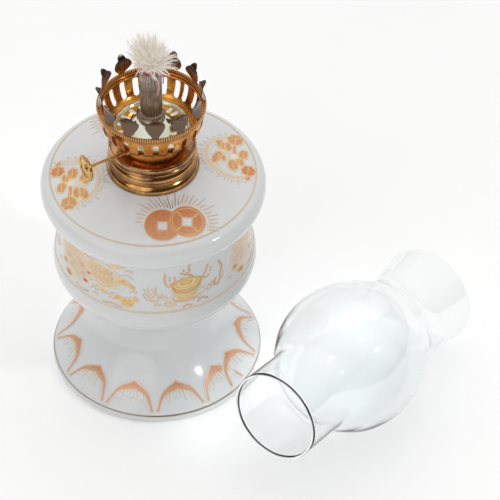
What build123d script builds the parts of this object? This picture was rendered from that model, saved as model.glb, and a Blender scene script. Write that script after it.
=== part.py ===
from build123d import *
from math import asin, atan2, cos, degrees, hypot, radians, sin
import os

# Small table lamp of white opal glass with a brass round-wick burner. Its clear
# glass chimney is off the burner and lies on the table in front of the lamp.
# Millimetres, +Z up. The origin is on the lamp's axis at table level, and +X
# runs along the lying chimney, from its fitter end towards its flared top.

# Opal glass
foot_radius = 44.8
base_radius = 43.6
base_ring_inner = 40.2
fuse_height = 40.0        # where the pressed foot is fused to the blown font
fuse_radius = 25.0
band_radius = 39.9        # waist of the decorated side band
rim_radius = 46.1
shoulder_height = 109.0   # glass at the root of the neck
neck_outer = 14.8
neck_inner = 12.6
neck_top = 116.5

# Collar and burner
collar_radius = 19.0
collar_top = 118.6
thread_radius = 11.3      # bore that the burner screws into
thread_clearance = 0.08
thread_depth = 0.28
thread_pitch = 1.6
skirt_bore = 10.5
skirt_bottom = 109.5
cap_bottom = 118.7
cap_radius = 17.5
cap_rim_height = 121.9
sheet = 0.5               # brass sheet
drum_radius = 14.6
spigot_radius = 14.0      # cap's inner wall, under the drum
drum_bottom = 121.6
drum_top = 129.0
disc_bottom = 120.5
disc_thickness = 0.8

# Gallery
basket_radius = 21.2
basket_top = 139.3
slot_count = 22
slot_pitch = 16.6         # degrees; the last gap is narrower, at the sheet's seam
first_slot = 7.6          # degrees from +X
slot_width = 2.4
slot_low = 130.3
slot_high = 138.3
band_top = 142.0
prong_count = 12
first_prong = 13.2        # degrees from +X
prong_sheet = 0.45
prong_foot = 1.7          # half widths of a prong
prong_neck = 1.4
prong_belly = 4.0
prong_lobe = 1.8
prong_height = 8.0        # from the band to the lobe
ring_radius = 21.5        # outside of the prong band

# Wick and its tube
tube_radius = 4.0
tube_bore = 3.5
tube_bottom = 111.0
tube_top = 160.0
ferrule_radius = 5.4
ferrule_bottom = 134.4
wick_radius = 3.15
wick_bottom = 62.0
wick_top = 162.2
tuft_top = 176.0
wick_travel = 14.0
thread_ring_radius = 3.6  # coloured tracer thread round the wick
thread_ring_height = 160.95

# Wick raiser
key_azimuth = 156.8       # degrees from +X, pointing from the lamp to the knob
key_height = 126.0
key_offset = 5.3          # sideways distance from the lamp's axis to the shaft
shaft_radius = 0.65
shaft_clearance = 0.07
shaft_inner_end = -4.0
knob_distance = 32.6
knob_radius = 5.6
wheel_tip = 2.45
wheel_root = 1.75
wheel_teeth = 10
wheel_width = 1.6
sleeve_radius = 1.3
collet_radius = 0.9       # thicker end of the shaft, at the knob
collet_start = 28.6
collet_end = 31.8

# Chimney, measured along its own axis from the fitter end
chimney_length = 111.6
fitter_radius = 19.4
bulge_at = 52.0
bulge_radius = 31.2
bulge_curve = 44.0        # radius of the long side of the bulge
flare_radius = 21.7
chimney_wall = 1.2
lip = 0.6                 # depth of the rounded glass edges
chimney_x = -30.65        # centre of the fitter end
chimney_y = -85.75

key_out = Vector(cos(radians(key_azimuth)), sin(radians(key_azimuth)), 0)
key_side = Vector(-key_out.Y, key_out.X, 0)
shaft_plane = Plane(
    origin=key_side * key_offset + Vector(0, 0, key_height),
    x_dir=key_side,
    z_dir=key_out,
)


def turned(*edges):
    """Solid of revolution about Z from edges drawn as (radius, height)."""
    outline = Plane.XZ * Curve(children=list(edges))
    return revolve(make_face(outline.edges()), Axis.Z)


def turned_polygon(*points):
    return turned(*Polyline(*points, close=True).edges())


def chain(*points):
    """Straight edges through points, left open."""
    return Polyline(*points).edges()


def bead(radius, height, size):
    """Rolled wire edge: a torus on the lamp's axis."""
    return Pos(0, 0, height) * Torus(radius, size)


def on_shaft(radius, start, end):
    """Cylinder on the key shaft's axis, between two distances from the wheel."""
    bar = Cylinder(radius, end - start, align=(Align.CENTER, Align.CENTER, Align.MIN))
    return shaft_plane * Pos(0, 0, start) * bar


def make_font():
    belly = Spline(
        (fuse_radius, fuse_height), (30.5, 45.2), (36.0, 48.9), (40.2, 53.4), (42.3, 59.5),
        (41.6, 64.2), (40.4, 69.0), (band_radius, 78.0), (40.0, 86.0), (40.6, 90.6),
    )
    rim = Spline(
        (40.6, 90.6), (43.4, 92.1), (45.5, 94.9), (rim_radius, 98.4), (45.2, 101.6),
        (43.0, 103.2), (36.0, 104.9), (26.0, 107.2), (16.2, shoulder_height),
    )
    neck = chain(
        (16.2, shoulder_height), (neck_outer, 110.2), (neck_outer, neck_top),
        (neck_inner, neck_top), (neck_inner, 107.5),
    )
    inside = Spline(
        (neck_inner, 107.5), (16.0, 105.5), (28.0, 103.0), (38.0, 100.4), (41.6, 97.6),
        (40.4, 94.2), (37.4, 90.6), (36.7, 84.0), (36.8, 74.0), (38.6, 62.0),
        (36.0, 54.2), (29.0, 49.0), (18.0, 46.2), (0.0, 45.2),
    )
    floor = chain((0.0, 45.2), (0.0, fuse_height), (fuse_radius, fuse_height))
    return turned(belly, rim, *neck, inside, *floor)


def make_foot():
    flare = Spline(
        (fuse_radius, fuse_height), (22.6, 34.0), (22.9, 27.0), (26.5, 19.0),
        (33.0, 12.3), (39.6, 7.4), (43.8, 4.6),
    )
    edge = ThreePointArc((43.8, 4.6), (foot_radius, 2.4), (base_radius, 0.0))
    base = Line((base_radius, 0.0), (base_ring_inner, 0.0))
    hollow = Spline(
        (base_ring_inner, 0.0), (37.0, 4.6), (30.5, 9.6), (23.5, 16.5), (19.4, 25.0),
        (12.0, 33.4), (0.0, 35.2),
    )
    top = chain((0.0, 35.2), (0.0, fuse_height), (fuse_radius, fuse_height))
    return turned(flare, edge, base, hollow, *top)


def make_collar():
    flange = ThreePointArc((collar_radius, 109.5), (18.5, 111.0), (17.6, 112.1))
    wide_bead = ThreePointArc((17.6, 112.1), (18.25, 114.6), (17.3, 117.0))
    fine_bead = ThreePointArc((17.3, 117.0), (17.65, 117.8), (17.25, collar_top))
    inside = chain(
        (17.25, collar_top), (thread_radius, collar_top), (thread_radius, 108.0),
        (12.0, 108.0), (12.0, 117.8), (16.4, 117.8), (16.4, 109.2),
        (collar_radius, 108.85), (collar_radius, 109.5),
    )
    return turned(flange, wide_bead, fine_bead, *inside)


def make_collar_cement():
    return turned_polygon(
        (12.0, 110.0), (12.0, 117.8), (16.4, 117.8), (16.4, 109.3), (neck_outer, 110.4),
        (neck_outer, neck_top), (neck_inner, neck_top), (neck_inner, 110.0),
    )


def make_screw_skirt():
    crest = thread_radius - thread_clearance
    outline = [(skirt_bore, skirt_bottom), (crest - thread_depth, skirt_bottom)]
    height = skirt_bottom + thread_pitch / 2
    while height + thread_pitch / 2 < cap_bottom:
        outline.append((crest, height))
        outline.append((crest - thread_depth, height + thread_pitch / 2))
        height += thread_pitch
    outline.append((crest - thread_depth, cap_bottom))
    outline.append((skirt_bore, cap_bottom))
    return turned_polygon(*outline)


def make_burner_cap():
    roll = ThreePointArc((17.1, cap_bottom), (17.9, 120.2), (cap_radius, 121.5))
    dish = chain(
        (cap_radius, 121.5), (cap_radius, cap_rim_height), (17.1, cap_rim_height),
        (16.9, 121.0), (drum_radius, drum_bottom), (spigot_radius, drum_bottom),
        (spigot_radius, disc_bottom), (skirt_bore, disc_bottom), (skirt_bore, cap_bottom),
        (17.1, cap_bottom),
    )
    return turned(roll, *dish)


def make_base_disc():
    disc_top = disc_bottom + disc_thickness
    return turned_polygon(
        (tube_radius, disc_bottom), (spigot_radius, disc_bottom), (spigot_radius, disc_top),
        (tube_radius, disc_top),
    )


def make_drum():
    wall = turned_polygon(
        (drum_radius - sheet, drum_bottom), (drum_radius, drum_bottom),
        (drum_radius, drum_top), (drum_radius - sheet, drum_top),
    )
    return wall - on_shaft(sleeve_radius, 8.0, 20.0)


def make_reflector_plate():
    edge = ThreePointArc((15.4, drum_top), (15.0, 130.3), (14.2, 129.8))
    dome = Spline((14.2, 129.8), (10.0, 132.3), (6.8, 133.8), (4.4, 134.5))
    lip = Line((4.4, 134.5), (4.4, 134.0))
    under = Spline((4.4, 134.0), (6.7, 133.3), (9.8, 131.8), (13.7, 129.5))
    foot = chain((13.7, 129.5), (14.0, drum_top), (15.4, drum_top))
    return turned(edge, dome, lip, under, *foot)


def make_gallery_basket():
    outer = Spline(
        (15.6, 128.4), (18.6, 130.2), (20.4, 133.4), (21.1, 136.6), (basket_radius, basket_top),
    )
    inner = Spline(
        (basket_radius - sheet, basket_top), (20.6, 136.7), (19.95, 133.6), (18.25, 130.6),
        (15.4, 128.9),
    )
    top = Line((basket_radius, basket_top), (basket_radius - sheet, basket_top))
    flange = chain(
        (15.4, 128.9), (drum_radius, 128.9), (drum_radius, 128.4), (15.6, 128.4),
    )
    basket = turned(outer, top, inner, *flange) + bead(20.35, 139.2, 0.5)
    height = slot_high - slot_low
    stadium = SlotOverall(height, slot_width, rotation=90)
    side = Plane(origin=(12, 0, (slot_low + slot_high) / 2), x_dir=(0, 1, 0), z_dir=(1, 0, 0))
    cutter = extrude(side * stadium, 12)
    slots = [Rot(0, 0, first_slot + slot_pitch * i) * cutter for i in range(slot_count)]
    return basket - slots


def prong_outline():
    """Leaf with a narrow foot, round sides and a small lobe at its tip."""
    foot = band_top - 0.4
    neck = band_top + prong_height
    right = Spline(
        (prong_foot, foot), (prong_neck, band_top + 0.8), (2.5, band_top + 2.4),
        (3.7, band_top + 4.2), (prong_belly, band_top + 5.8), (3.3, band_top + 7.2),
        (prong_lobe, neck),
    )
    tip = ThreePointArc((prong_lobe, neck), (0.0, neck + 2.0), (-prong_lobe, neck))
    left = mirror(right, Plane.YZ)
    root = Line((-prong_foot, foot), (prong_foot, foot))
    return make_face([*right.edges(), *tip.edges(), *left.edges(), *root.edges()])


def make_prong_ring():
    band = turned_polygon(
        (ring_radius - sheet, basket_top), (ring_radius, basket_top),
        (ring_radius, band_top), (ring_radius - sheet, band_top),
    )
    outer = Spline(
        (ring_radius, band_top - 0.4), (20.9, 144.5), (20.3, 147.6), (20.7, 149.8), (22.2, 152.2),
    )
    inner = Spline(
        (22.2 - prong_sheet, 152.2), (20.7 - prong_sheet, 149.8), (20.3 - prong_sheet, 147.6),
        (20.9 - prong_sheet, 144.5), (ring_radius - prong_sheet, band_top - 0.4),
    )
    top = Line((22.2, 152.2), (22.2 - prong_sheet, 152.2))
    bottom = Line((ring_radius - prong_sheet, band_top - 0.4), (ring_radius, band_top - 0.4))
    crown = turned(outer, top, inner, bottom)
    side = Plane(origin=(12, 0, 0), x_dir=(0, 1, 0), z_dir=(1, 0, 0))
    leaf = crown & extrude(side * prong_outline(), 14)
    ring = band + bead(20.95, 140.25, 0.42)
    for i in range(prong_count):
        ring += Rot(0, 0, first_prong + i * 360 / prong_count) * leaf
    return ring


def make_wick_tube():
    tube = turned_polygon(
        (tube_bore, tube_bottom), (tube_radius, tube_bottom),
        (tube_radius, tube_top), (tube_bore, tube_top),
    )
    window = shaft_plane * Pos(-3, 0, 0) * Box(5, 6, wheel_width + 0.8)
    return tube - window


def make_tube_ferrule():
    foot = ThreePointArc((ferrule_radius, ferrule_bottom), (5.5, 135.3), (4.9, 136.0))
    cove = ThreePointArc((4.9, 136.0), (4.3, 136.9), (tube_radius, 138.6))
    bore = chain((tube_radius, 138.6), (tube_radius, 134.8), (ferrule_radius, ferrule_bottom))
    return turned(foot, cove, *bore)


def make_bearing_bracket():
    disc_top = disc_bottom + disc_thickness
    height = key_height + 1.6 - disc_top
    post = Box(2.8, height, 1.6, align=(Align.CENTER, Align.MAX, Align.MIN))
    upright = Pos(0, 0, -3.6) * Rot(0, 0, 180) * Pos(0, disc_top - key_height + height, 0)
    return shaft_plane * upright * post - on_shaft(shaft_radius + shaft_clearance, -6.0, 0.0)


def make_shaft_sleeve():
    bore = shaft_radius + shaft_clearance
    return on_shaft(sleeve_radius, 2.2, 14.9) - on_shaft(bore, 1.0, 16.0)


def make_key_shaft():
    return on_shaft(shaft_radius, shaft_inner_end, knob_distance + 0.9) + on_shaft(
        collet_radius, collet_start, collet_end
    )


def make_key_knob():
    """Dished thumb disc with a rolled rim and a riveted boss."""
    rim = shaft_plane * Pos(0, 0, knob_distance) * Torus(knob_radius - 0.7, 0.7)
    web = on_shaft(knob_radius - 0.8, knob_distance - 0.5, knob_distance + 0.1)
    boss = on_shaft(1.5, knob_distance - 0.8, knob_distance + 0.7)
    bore = on_shaft(shaft_radius, 30.0, 36.0) + on_shaft(collet_radius, 30.0, collet_end)
    return rim + web + boss - bore


def make_wick_wheel():
    points = []
    for i in range(wheel_teeth):
        middle = i * 360 / wheel_teeth
        for radius, turn in ((wheel_root, -12), (wheel_tip, -4), (wheel_tip, 4), (wheel_root, 12)):
            angle = radians(middle + turn)
            points.append((radius * cos(angle), radius * sin(angle)))
    blank = extrude(make_face(Polyline(*points, close=True)), wheel_width)
    placed = shaft_plane * Pos(0, 0, -wheel_width / 2) * blank
    return placed - on_shaft(shaft_radius, -2.0, 2.0)


def make_wick():
    bundle = Pos(0, 0, wick_bottom) * Cylinder(
        wick_radius, wick_top - wick_bottom, align=(Align.CENTER, Align.CENTER, Align.MIN)
    )
    low = key_height - 3.2 - wick_travel
    high = key_height + 3.2
    groove = Box(4, wheel_width + 1.2, high - low, align=(Align.MIN, Align.CENTER, Align.MIN))
    turn = degrees(atan2(key_side.Y, key_side.X))
    return bundle - Pos(0, 0, low) * Rot(0, 0, turn) * Pos(2.4, 0, 0) * groove


def make_wick_tuft():
    puff = Spline(
        (3.2, wick_top), (6.4, 163.4), (8.4, 167.0), (7.6, 171.4), (4.4, 174.8), (0.0, tuft_top),
    )
    core = chain((0.0, tuft_top), (0.0, wick_top), (3.2, wick_top))
    return turned(puff, *core)


def make_tracer_thread():
    return bead(thread_ring_radius, thread_ring_height, 0.35)


def make_chimney():
    """Clear glass: straight fitter, long bulge, waist and flared top."""
    outline = [
        (lip, fitter_radius), (12.0, fitter_radius), (21.0, fitter_radius), (27.6, 20.5),
        (34.6, 25.6), (42.4, 29.6), (bulge_at, bulge_radius), (60.3, 30.4), (68.1, 28.1),
        (75.5, 24.5), (82.6, 20.7), (89.8, 18.7), (98.2, 19.6),
        (chimney_length - lip, flare_radius),
    ]
    outer = Spline(*[(radius, along) for along, radius in outline])
    inner = Spline(*[(radius - chimney_wall, along) for along, radius in reversed(outline)])
    low = ThreePointArc(
        (fitter_radius - chimney_wall, lip), (fitter_radius - chimney_wall / 2, 0.0),
        (fitter_radius, lip),
    )
    high = ThreePointArc(
        (flare_radius, chimney_length - lip), (flare_radius - chimney_wall / 2, chimney_length),
        (flare_radius - chimney_wall, chimney_length - lip),
    )
    upright = turned(low, outer, high, inner)
    # It rests on the long side of its bulge and on the edge of its top: the tilt
    # makes those two circles' lowest points level.
    run = chimney_length - lip - bulge_at
    drop = flare_radius - (bulge_radius - bulge_curve)
    tilt = degrees(asin(bulge_curve / hypot(run, drop)) - atan2(drop, run))
    lying = Rot(0, 90 + tilt, 0) * upright
    lift = -lying.bounding_box().min.Z
    return Pos(chimney_x, chimney_y, lift) * lying


parts = {
    "font": make_font,
    "foot": make_foot,
    "collar": make_collar,
    "collar_cement": make_collar_cement,
    "screw_skirt": make_screw_skirt,
    "burner_cap": make_burner_cap,
    "base_disc": make_base_disc,
    "drum": make_drum,
    "reflector_plate": make_reflector_plate,
    "gallery_basket": make_gallery_basket,
    "prong_ring": make_prong_ring,
    "wick_tube": make_wick_tube,
    "tube_ferrule": make_tube_ferrule,
    "bearing_bracket": make_bearing_bracket,
    "shaft_sleeve": make_shaft_sleeve,
    "key_shaft": make_key_shaft,
    "key_knob": make_key_knob,
    "wick_wheel": make_wick_wheel,
    "wick": make_wick,
    "wick_tuft": make_wick_tuft,
    "tracer_thread": make_tracer_thread,
    "chimney": make_chimney,
}

os.makedirs("parts", exist_ok=True)
for name, make in parts.items():
    export_step(make(), f"parts/{name}.step")
    print(name, "written")
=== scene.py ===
import math

import bpy
import numpy as np
from mathutils import Matrix, Vector


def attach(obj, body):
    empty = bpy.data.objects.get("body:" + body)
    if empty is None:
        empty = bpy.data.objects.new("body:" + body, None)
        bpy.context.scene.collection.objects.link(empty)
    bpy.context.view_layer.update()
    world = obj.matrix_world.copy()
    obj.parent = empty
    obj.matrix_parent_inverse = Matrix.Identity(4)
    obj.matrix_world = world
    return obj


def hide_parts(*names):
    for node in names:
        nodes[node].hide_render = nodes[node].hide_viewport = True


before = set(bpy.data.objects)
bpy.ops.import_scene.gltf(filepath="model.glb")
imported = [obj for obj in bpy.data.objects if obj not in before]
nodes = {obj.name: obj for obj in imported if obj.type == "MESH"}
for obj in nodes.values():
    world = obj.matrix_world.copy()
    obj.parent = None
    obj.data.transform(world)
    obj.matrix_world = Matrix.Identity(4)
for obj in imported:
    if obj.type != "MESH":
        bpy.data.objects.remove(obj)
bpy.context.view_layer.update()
scene = bpy.context.scene
mm = 0.001
print("frame loaded:", len(nodes), "CAD nodes")


# small tools shared by every piece

def linear(hexColour):
    # sRGB to linear: v / 12.92 for a dark channel v, else (v + 0.055) / 1.055 to the power 2.4
    values = [int(hexColour[i:i + 2], 16) / 255 for i in (0, 2, 4)]
    return tuple(v / 12.92 if v <= 0.04045 else ((v + 0.055) / 1.055) ** 2.4
                 for v in values) + (1.0,)


def addNode(tree, kind, settings=()):
    # a key in lower case sets the node itself, any other a socket, from another or to a value
    node = tree.nodes.new("ShaderNode" + kind)
    for key, value in dict(settings).items():
        if isinstance(key, str) and key[0].islower():
            setattr(node, key, value)
        elif isinstance(value, bpy.types.NodeSocket):
            tree.links.new(value, node.inputs[key])
        else:
            node.inputs[key].default_value = value
    return node


def newMaterial(name):  # an empty material, its node tree, and the place that its patterns follow
    material = bpy.data.materials.new(name)
    material.use_nodes = True
    tree = material.node_tree
    tree.nodes.clear()
    return material, tree, addNode(tree, "TexCoord").outputs["Object"]


def dress(piece, material):  # one material over the whole piece
    piece.data.materials.clear()
    piece.data.materials.append(material)


def addPiece(name, points, faces, material, body):
    # object from points in metres, riding on a CAD body
    mesh = bpy.data.meshes.new(name)
    mesh.from_pydata(points, [], faces)
    mesh.polygons.foreach_set("use_smooth", np.full(len(mesh.polygons), True))
    mesh.update()
    piece = bpy.data.objects.new(name, mesh)
    scene.collection.objects.link(piece)
    dress(piece, material)
    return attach(piece, body)


def gridFaces(rows, columns, closedRows=False, closedColumns=False):
    # quads of a grid numbered row by row; a closed direction joins its last line to its first
    i = np.arange(rows if closedRows else rows - 1)[:, None]
    j = np.arange(columns if closedColumns else columns - 1)[None, :]
    down, across = (i + 1) % rows, (j + 1) % columns
    quads = [i * columns + j, i * columns + across, down * columns + across, down * columns + j]
    return np.stack([np.broadcast_to(q, (i.size, j.size)) for q in quads], -1).reshape(-1, 4)


def addRevolved(name, radius, height, turns, material, body):
    # closed ring: radius and height are arrays (round the section, round the axis), and each point
    # is radius times the angle's cosine and sine, at that height; the section runs anticlockwise
    radius, height = np.broadcast_arrays(radius, height)
    angle = np.linspace(0, 2 * np.pi, turns, endpoint=False)[None, :]
    points = np.stack([radius * np.cos(angle), radius * np.sin(angle), height + 0 * angle], -1)
    faces = gridFaces(radius.shape[0], turns, True, True)
    return addPiece(name, points.reshape(-1, 3) * mm, faces, material, body)


# camera, floor and studio light

studio = {
    "place": (-0.6785, -0.5633, 0.9502),
    "heading": 37.12,  # degrees from +X
    "down": 45.32,
    "roll": 0.4,
    "lens": 216.0,
    "floor": "FFFFFF",
    "floorTone": (0.87, 0.89),
    "floorGlow": 0.18,
    "skyBright": "FFFFFF",
    "skyDark": "544D48",
    "skyLean": (0.45, 0.34, 0.83),  # the sky is bright in this direction and dark opposite
    "skySpan": (0.1, 0.7),  # where dark ends and where bright begins
    "skyStrength": 0.86,
    "aim": (0.01, -0.02, 0.07),  # the lamps face this point
    # direction from it (degrees round from +X, degrees up), distance, size, watts
    "lamps": {
        "left": ((183, 33), 1.3, 1.3, 5.0),
        "right": ((281, 39), 1.3, 0.12, 2.2),
        "back": ((40, 60), 1.4, 1.6, 3.0),
    },
}

cameraData = bpy.data.cameras.new("camera")
cameraData.lens = studio["lens"]
cameraData.clip_start, cameraData.clip_end = 0.05, 30
camera = bpy.data.objects.new("camera", cameraData)
camera.matrix_world = (
    Matrix.Translation(studio["place"])
    @ Matrix.Rotation(math.radians(studio["heading"] - 90), 4, "Z")
    @ Matrix.Rotation(math.radians(90 - studio["down"]), 4, "X")
    @ Matrix.Rotation(math.radians(studio["roll"]), 4, "Z")
)
scene.collection.objects.link(camera)
scene.camera = camera
scene.view_settings.view_transform = "Standard"

world = bpy.data.worlds.new("studioSky")
scene.world = world
world.use_nodes = True
skyTree = world.node_tree
skyTree.nodes.clear()
skyPlace = addNode(skyTree, "TexCoord")
skySide = addNode(skyTree, "VectorMath", {
    "operation": "DOT_PRODUCT", 0: skyPlace.outputs["Generated"], 1: studio["skyLean"]})
skyRamp = addNode(skyTree, "ValToRGB", {"Fac": skySide.outputs["Value"]})
skyEnds = zip(skyRamp.color_ramp.elements, studio["skySpan"], ("skyDark", "skyBright"))
for stop, place, tone in skyEnds:
    stop.position, stop.color = place, linear(studio[tone])
skyLight = addNode(skyTree, "Background", {
    "Color": skyRamp.outputs["Color"], "Strength": studio["skyStrength"]})
addNode(skyTree, "OutputWorld", {"Surface": skyLight.outputs["Background"]})

aim = Vector(studio["aim"])
for name, ((around, up), far, size, watts) in studio["lamps"].items():
    light = bpy.data.lights.new(name, "AREA")
    light.shape, light.size, light.energy = "DISK", size, watts
    lamp = bpy.data.objects.new(name, light)
    a, e = math.radians(around), math.radians(up)
    away = Vector((math.cos(a) * math.cos(e), math.sin(a) * math.cos(e), math.sin(e)))
    lamp.location = aim + away * far
    lamp.rotation_mode = "QUATERNION"
    lamp.rotation_quaternion = away.to_track_quat("Z", "Y")
    lamp.visible_glossy = name != "back"  # too broad to be seen as a spot in the glass
    scene.collection.objects.link(lamp)

# matt white paint, faintly uneven in patches about 33 mm across
floorMaterial, tree, place = newMaterial("paintedStudioFloor")
mottle = addNode(tree, "TexNoise", {"Vector": place, "Scale": 30, "Detail": 2})
tone = addNode(tree, "MapRange", {
    "Value": mottle.outputs["Fac"],
    "To Min": studio["floorTone"][0], "To Max": studio["floorTone"][1]})
shader = addNode(tree, "BsdfPrincipled", {
    "Base Color": tone.outputs["Result"], "Roughness": 0.9, "Specular IOR Level": 0.1,
    "Emission Color": linear(studio["floor"]), "Emission Strength": studio["floorGlow"],
})
addNode(tree, "OutputMaterial", {"Surface": shader.outputs[0]})
floorMesh = bpy.data.meshes.new("studioFloor")
floorMesh.from_pydata([(-3, -3, 0), (3, -3, 0), (3, 3, 0), (-3, 3, 0)], [], [(0, 1, 2, 3)])
studioFloor = bpy.data.objects.new("studioFloor", floorMesh)
scene.collection.objects.link(studioFloor)
dress(studioFloor, floorMaterial)
print("studio ready")


# metals: two tones, the noise values between which one turns to the other, the size of their
# patches, the range of roughness, and the grit's size and depth; sizes in mm

metals = {
    # spun brass under clear lacquer: warm orange gold, browner where the lacquer has aged
    "lacqueredBrass": {"bright": "D8964A", "aged": "8E5220", "share": (0.45, 0.78), "patch": 7.0,
                       "roughness": (0.14, 0.32), "grit": 0.35, "bump": 0.02},
    # the turned key, bare and worn bright by fingers
    "polishedBrass": {"bright": "DDB573", "aged": "A67838", "share": (0.45, 0.8), "patch": 5.0,
                      "roughness": (0.1, 0.24), "grit": 0.3, "bump": 0.01},
    # the same brass gone brown with heat and handling on the collar
    "tarnishedBrass": {"bright": "CF9C62", "aged": "5C3C2A", "share": (0.35, 0.7), "patch": 9.0,
                       "roughness": (0.12, 0.28), "grit": 0.4, "bump": 0.02},
    # the cap, rubbed pale in patches
    "rubbedBrass": {"bright": "D0A478", "aged": "74503A", "share": (0.35, 0.7), "patch": 6.0,
                    "roughness": (0.12, 0.26), "grit": 0.35, "bump": 0.015},
    # tin plated and polished dome
    "polishedTin": {"bright": "E6EAD8", "aged": "CFC9A8", "share": (0.4, 0.8), "patch": 6.0,
                    "roughness": (0.06, 0.16), "grit": 0.3, "bump": 0.01},
    # drawn nickel silver tube, dulled to grey brown by the flame
    "heatedNickel": {"bright": "C2B8AE", "aged": "85796F", "share": (0.4, 0.8), "patch": 3.0,
                     "roughness": (0.25, 0.45), "grit": 0.25, "bump": 0.03},
}
# heat stain of the prongs: it comes in between two heights in mm, and further down on their
# outsides as painted shade on the prongs' outer faces
crownStainAndShade = {"from": 142.8, "to": 149.5, "outsideShadeLower": 6.5, "colour": "6B594C"}


def agedMetal(name, look, stainAndShade=None):
    # tone and roughness follow soft noise patches, roughness and bump a fine grit; a stain is a
    # third tone that comes in with height, and sooner on faces turned away from the lamp's axis,
    # where it is painted shade
    material, tree, place = newMaterial(name)
    patch = addNode(tree, "TexNoise", {
        "Vector": place, "Scale": 1000 / look["patch"], "Detail": 4, "Roughness": 0.6})
    share = addNode(tree, "MapRange", {
        "Value": patch.outputs["Fac"], "From Min": look["share"][0], "From Max": look["share"][1]})
    last = addNode(tree, "Mix", {"data_type": "RGBA", 0: share.outputs["Result"],
                                 6: linear(look["bright"]), 7: linear(look["aged"])}).outputs[2]
    if stainAndShade:
        height = addNode(tree, "SeparateXYZ", {0: place})
        flat = addNode(tree, "VectorMath", {"operation": "MULTIPLY", 0: place, 1: (1000, 1000, 0)})
        normal = addNode(tree, "NewGeometry").outputs["Normal"]
        facing = addNode(tree, "VectorMath", {
            "operation": "DOT_PRODUCT", 0: flat.outputs[0], 1: normal})
        # faces turned outward reach the stain's tone sooner: this part is painted shade
        shadeLower = addNode(tree, "MapRange", {
            "Value": facing.outputs["Value"], "From Min": -2, "From Max": 2,
            "To Min": 0.0, "To Max": stainAndShade["outsideShadeLower"] * mm})
        level = addNode(tree, "Math", {
            "operation": "ADD", 0: height.outputs["Z"], 1: shadeLower.outputs["Result"]})
        rise = addNode(tree, "MapRange", {
            "Value": level.outputs[0], "From Min": stainAndShade["from"] * mm, "From Max": stainAndShade["to"] * mm,
            "interpolation_type": "SMOOTHSTEP"})
        last = addNode(tree, "Mix", {"data_type": "RGBA", 0: rise.outputs["Result"],
                                     6: last, 7: linear(stainAndShade["colour"])}).outputs[2]
    grit = addNode(tree, "TexNoise", {"Vector": place, "Scale": 1000 / look["grit"], "Detail": 2})
    wear = addNode(tree, "Math", {
        "operation": "MULTIPLY", 0: patch.outputs["Fac"], 1: grit.outputs["Fac"]})
    gloss = addNode(tree, "MapRange", {
        "Value": wear.outputs[0], "From Min": 0.1, "From Max": 0.45,
        "To Min": look["roughness"][0], "To Max": look["roughness"][1]})
    bump = addNode(tree, "Bump", {
        "Height": grit.outputs["Fac"], "Strength": 0.25, "Distance": look["bump"] * mm})
    shader = addNode(tree, "BsdfPrincipled", {
        "Base Color": last, "Metallic": 1.0, "Roughness": gloss.outputs["Result"],
        "Normal": bump.outputs["Normal"]})
    addNode(tree, "OutputMaterial", {"Surface": shader.outputs[0]})
    return material


metalNodes = {
    "lacqueredBrass": ("drum", "gallery_basket", "shaft_sleeve", "bearing_bracket"),
    "polishedBrass": ("key_shaft", "key_knob"),
    "tarnishedBrass": ("collar", "screw_skirt", "base_disc", "wick_wheel"),
    "rubbedBrass": ("burner_cap",),
    "polishedTin": ("reflector_plate",),
    "heatedNickel": ("wick_tube", "tube_ferrule"),
}
for metal, names in metalNodes.items():
    material = agedMetal(metal, metals[metal])
    for name in names:
        dress(nodes[name], material)
dress(nodes["prong_ring"],
      agedMetal("lacqueredBrassCrown", metals["lacqueredBrass"], crownStainAndShade))
print("metals done")


# opal glass, clear glass, plaster and cotton

glassLooks = {
    "opal": "E5E6E7",
    "opalShade": "DDDFE0",
    "clear": "F8FAFA",
}


def opalNodes(tree, place):
    # colour, roughness and normal of the glass, shared by the gilding fired onto it: a soft cloud
    # about 40 mm across for tone and gloss, and a shallow ripple about 17 mm across
    cloud = addNode(tree, "TexNoise", {"Vector": place, "Scale": 25, "Detail": 2})
    colour = addNode(tree, "Mix", {
        "data_type": "RGBA", 0: cloud.outputs["Fac"],
        6: linear(glassLooks["opal"]), 7: linear(glassLooks["opalShade"])})
    ripple = addNode(tree, "TexNoise", {"Vector": place, "Scale": 60, "Detail": 1})
    bump = addNode(tree, "Bump", {
        "Height": ripple.outputs["Fac"], "Strength": 0.2, "Distance": 0.05 * mm})
    gloss = addNode(tree, "MapRange", {
        "Value": cloud.outputs["Fac"], "To Min": 0.08, "To Max": 0.16})
    return colour.outputs[2], gloss.outputs["Result"], bump.outputs["Normal"]


# pressed opal glass: dense cool white all through, fire polished
opal, tree, place = newMaterial("pressedOpalGlass")
colour, gloss, normal = opalNodes(tree, place)
shader = addNode(tree, "BsdfPrincipled", {
    "Base Color": colour, "Roughness": gloss, "IOR": 1.5, "Normal": normal})
addNode(tree, "OutputMaterial", {"Surface": shader.outputs[0]})

# blown soda glass: almost colourless, with faint waves about 22 mm long from blowing; the light
# that makes shadows goes straight through it
clearGlass, tree, place = newMaterial("blownSodaGlass")
wave = addNode(tree, "TexNoise", {"Vector": place, "Scale": 45, "Detail": 1})
bump = addNode(tree, "Bump", {
    "Height": wave.outputs["Fac"], "Strength": 0.15, "Distance": 0.1 * mm})
shader = addNode(tree, "BsdfPrincipled", {
    "Base Color": linear(glassLooks["clear"]), "Roughness": 0.0, "IOR": 1.5,
    "Transmission Weight": 1.0, "Normal": bump.outputs["Normal"]})
through = addNode(tree, "BsdfTransparent", {"Color": linear(glassLooks["clear"])})
path = addNode(tree, "LightPath")
pane = addNode(tree, "MixShader", {
    0: path.outputs["Is Shadow Ray"], 1: shader.outputs[0], 2: through.outputs[0]})
addNode(tree, "OutputMaterial", {"Surface": pane.outputs[0]})


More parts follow.
